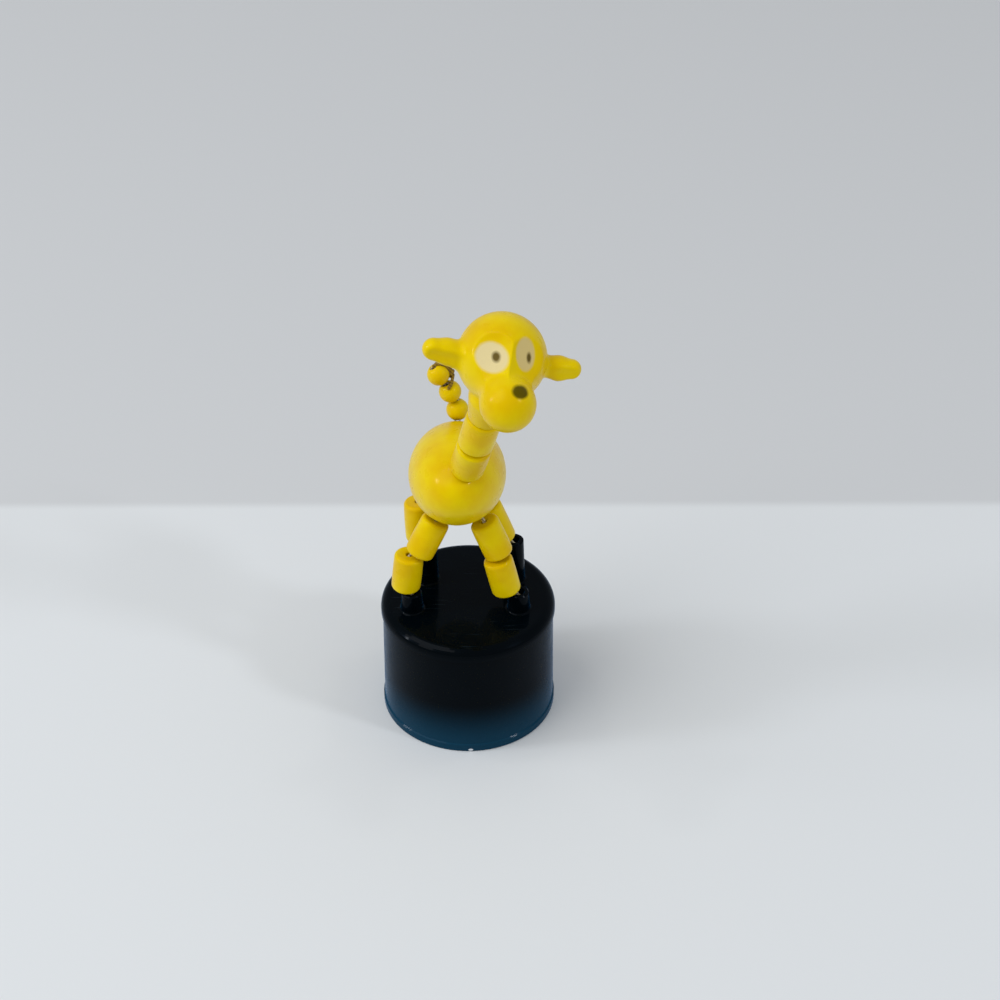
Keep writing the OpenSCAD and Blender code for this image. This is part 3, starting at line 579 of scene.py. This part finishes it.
# Distance to an ear that points to the right: two rods in a row, less a wide shallow groove in front
def earDistance(q, ear):
    root, mid, tip = ear
    inner = rod(q, root[:3], root[3], mid[:3], mid[3])
    flap = joined(inner, rod(q, mid[:3], mid[3], tip[:3], tip[3]), head["flapSoft"])
    return -joined(-flap, rod(q, *head["groove"]), head["grooveSoft"])


# Distance of points q, in the head's own millimetres, from its surface, below zero inside. Each eye
# sits on a facet, which a very large ball cuts from skull and cheeks. Then the muzzle, the ears and
# the throat, cut flat where it stands on the neck, are joined on smoothly.
def headDistance(q):
    skull = np.linalg.norm(q, axis=-1) - head["skull"]
    crown = np.linalg.norm(q - np.array(head["crownAt"]), axis=-1) - head["crown"]
    face = joined(joined(skull, crown, head["crownSoft"]), rod(q, *head["cheek"]), head["cheekSoft"])
    for side, up in np.radians(head["looks"]):
        look = np.array([np.sin(side) * np.cos(up), -np.cos(side) * np.cos(up), np.sin(up)])
        far = head["skull"] - head["facetDepth"] + head["facet"]
        ball = np.linalg.norm(q - far * look, axis=-1) - head["facet"]
        face = -joined(-face, ball, head["facetSoft"])
    muzzle = np.linalg.norm(q - np.array(head["muzzleAt"]), axis=-1) - head["muzzle"]
    face = joined(face, muzzle, head["muzzleSoft"])
    ears = np.minimum(earDistance(q * [-1, 1, 1], head["leftEar"]), earDistance(q, head["rightEar"]))
    axis, foot = neckAxis @ headTurn, (neckTop - headMiddle) @ headTurn
    low, high, length = head["throat"]
    throat = np.maximum(rod(q, foot, low, foot + length * axis, high), (foot - q) @ axis)
    return joined(joined(face, ears, head["earSoft"]), throat, head["throatSoft"])


# The head's surface is found along rays. In the middle they all leave the skull's middle; towards the
# ears they leave from ever further out on the ear axis at 45 degrees, and at the tip they fan to 0.
# Each ray's length comes from halving the step between a point inside and one outside.
def headSurface():
    s = np.linspace(0, 1, head["rows"])
    side = np.abs(2 * s - 1)
    sign = np.sign(0.5 - s)[:, None]
    fan, slide, angle = head["fan"], head["slide"], head["rayAngle"]
    polar = np.where(side < fan, 90 - (90 - angle) * side / fan,
                     np.where(side < slide, angle, angle * (1 - (side - slide) / (1 - slide))))
    farthest = head["leftEar"][2][0] - head["tipInset"]
    out = (np.clip((side - fan) / (slide - fan), 0, 1) * farthest)[:, None]
    polar = np.radians(polar)[:, None]
    around = (2 * np.pi * np.arange(head["columns"]) / head["columns"])[None]
    still = np.zeros_like(around)
    start = np.stack([sign * out + still, -head["droop"] * out + still, 0 * out + still], -1)
    ray = np.stack([sign * np.cos(polar) + still, np.sin(polar) * np.cos(around),
                    np.sin(polar) * np.sin(around)], -1)
    low, high = np.zeros(ray.shape[:2]), np.full(ray.shape[:2], head["rayLength"])
    for step in range(head["halvings"]):
        half = (low + high) / 2
        inside = headDistance(start + half[..., None] * ray) < 0
        low, high = np.where(inside, half, low), np.where(inside, high, half)
    return (start + low[..., None] * ray) @ headTurn.T + headMiddle


# A spot painted on the head, given in the head's own millimetres and rolled about its long axis from
# front to back
def headSpot(place, half, colour, roll, soft, fray):
    turn = (turnOfHead @ Euler((0, math.radians(roll), 0)).to_matrix()).to_euler("XYZ")
    return {"place": tuple(headTurn @ np.array(place) + headMiddle), "turn": turn, "halfSizes": half,
            "colour": colour, "soft": soft, "fray": fray}


face = {  # place, half sizes, colour, roll in degrees, softness and fray of the edge
    "leftEye": ((-2.6, -4.7, 0.68), (2.05, 5.0, 1.95), "#dccb96", 0, 0.1, 0.08),
    # the right eye's white is darker and yellower than the left's: painted shade, as the face's right side is
    # turned from the key lamp
    "rightEyeInPaintedShade": ((1.78, -4.7, 1.7), (1.38, 5.0, 2.2), "#d2bc7c", -13, 0.1, 0.08),
    "leftPupil": ((-2.08, -4.8, 0.82), (0.5, 3.0, 0.64), "#5f4f24", 0, 0.35, 0.3),
    "rightPupil": ((2.38, -4.6, 1.27), (0.32, 3.0, 0.65), "#5f4f24", -13, 0.4, 0.5),
    "nose": ((0.9, -8.6, -2.67), (1.12, 3.0, 0.82), "#554900", 0, 0.2, 0.2),
}
spots = [headSpot(*spot) for spot in face.values()]  # later spots lie over earlier ones
headLacquer = yellowLacquer("yellow_lacquer_painted_face", spots)
gridPiece("head_shell", headSurface(), headLacquer, "head", ["head"])
print("head made")


spring = {"wire": 0.5, "coil": 6.8, "turns": 6, "stepsPerTurn": 40, "flat": 0.08, "pressed": 4.0}


# The spring's wire runs round the axis at an even pitch between two flat end turns.
def coilPiece():
    low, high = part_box("spring")
    u = np.linspace(0, 1, spring["turns"] * spring["stepsPerTurn"])
    rise = np.clip((u - spring["flat"]) / (1 - 2 * spring["flat"]), 0, 1)
    height = (low[2] + (high[2] - low[2]) * rise) / mm + spring["wire"] * (0.5 - rise)
    turned = 2 * np.pi * spring["turns"] * u
    path = np.stack([spring["coil"] / 2 * np.cos(turned), spring["coil"] / 2 * np.sin(turned), height], -1)
    piece = gridPiece("spring_coil", tube(path, spring["wire"] / 2), steel, "base", ["spring"])
    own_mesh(piece)


coilPiece()
finishes = {"base": styrene, "button": buttonStyrene}
for name, node in nodes.items():
    if name in finishes or name.startswith(("string", "knot")):
        node.data.materials.clear()
        node.data.materials.append(finishes.get(name, cotton))
print("CAD pieces dressed")


room = {
    "table": "#d9dcdd", "wall": "#c9cbcc", "edgeY": 45.8, "edgeSoft": 1.2, "reach": 1500, "roughness": 0.6,
    "air": "#eef0f4", "world": 0.55, "worldSeen": 0.75, "lampAim": (0, 0, 0.04),
    "lamps": {  # place in metres, width, power, colour
        "key": ((-0.55, -0.25, 0.8), 0.9, 4.6, "#ffffff"),
        "window_left": ((-0.56, -0.07, 0.3), 0.12, 0.75, "#f2f7ff"),
        "window_right": ((0.43, -0.23, 0.39), 0.08, 0.65, "#f2f7ff"),
        "over_left": ((-0.26, 0.08, 0.75), 0.06, 0.16, "#ffffff"),
        "over_right": ((0.22, 0.08, 0.76), 0.06, 0.14, "#ffffff"),
    },
}


# A flat floor whose colour changes along one line, as where a table meets the wall behind it
def makeFloor():
    reach = room["reach"] * mm
    mesh = bpy.data.meshes.new("floor")
    corners = [(-reach, -reach, 0), (reach, -reach, 0), (reach, reach, 0), (-reach, reach, 0)]
    mesh.from_pydata(corners, [], [(0, 1, 2, 3)])
    material, tree, shader = newMaterial("matt_board")
    at = addNode(tree, "TexCoord").outputs["Object"]
    apart = addNode(tree, "SeparateXYZ", inputs={0: at})
    edge = addNode(tree, "MapRange", {"interpolation_type": "SMOOTHSTEP"},
                   {"Value": apart.outputs[1], "From Min": (room["edgeY"] - room["edgeSoft"]) * mm,
                    "From Max": (room["edgeY"] + room["edgeSoft"]) * mm})
    board = mixColours(tree, edge.outputs[0], room["table"], room["wall"])
    tree.links.new(board, shader.inputs["Base Color"])
    shader.inputs["Roughness"].default_value = room["roughness"]
    mesh.materials.append(material)
    floor = bpy.data.objects.new("floor", mesh)
    scene.collection.objects.link(floor)


# A round area lamp at a place, facing the object
def areaLamp(name, place, size, power, colour):
    light = bpy.data.lights.new(name, "AREA")
    light.shape, light.size, light.energy, light.color = "DISK", size, power, linear(colour)[:3]
    lamp = bpy.data.objects.new(name, light)
    lamp.location = place
    lamp.rotation_euler = (Vector(room["lampAim"]) - Vector(place)).to_track_quat("-Z", "Y").to_euler()
    scene.collection.objects.link(lamp)


makeFloor()
for name, lamp in room["lamps"].items():
    areaLamp(name, *lamp)

world = bpy.data.worlds.new("room")
world.use_nodes = True
scene.world = world
world.node_tree.nodes.clear()
path = addNode(world.node_tree, "LightPath")
shown = addNode(world.node_tree, "Mix", {"data_type": "FLOAT"},
                {0: path.outputs["Is Camera Ray"], 2: room["world"], 3: room["worldSeen"]})
air = addNode(world.node_tree, "Background",
              inputs={"Color": linear(room["air"]), "Strength": shown.outputs[0]})
addNode(world.node_tree, "OutputWorld", inputs={"Surface": air.outputs[0]})

# The camera stands where the photo's did: it looks down about 38 degrees and hardly rolls. Its place is
# in millimetres, and the three directions are its own axes.
view = {
    "place": (4.685301, -304.867672, 274.236454), "lens": 98.45, "sensor": 36, "clip": (0.01, 10),
    "right": (0.9999975, -0.0013718, -0.0017605), "up": (0.0022318, 0.6146525, 0.7887948),
    "back": (0, -0.7887968, 0.6146541),
}
camera = bpy.data.cameras.new("camera")
camera.lens, camera.sensor_width = view["lens"], view["sensor"]
camera.clip_start, camera.clip_end = view["clip"]
eye = bpy.data.objects.new("camera", camera)
turn = Matrix((view["right"], view["up"], view["back"])).transposed()
eye.matrix_world = Matrix.Translation(Vector(view["place"]) * mm) @ turn.to_4x4()
scene.collection.objects.link(eye)
scene.camera = eye
print("stage set")
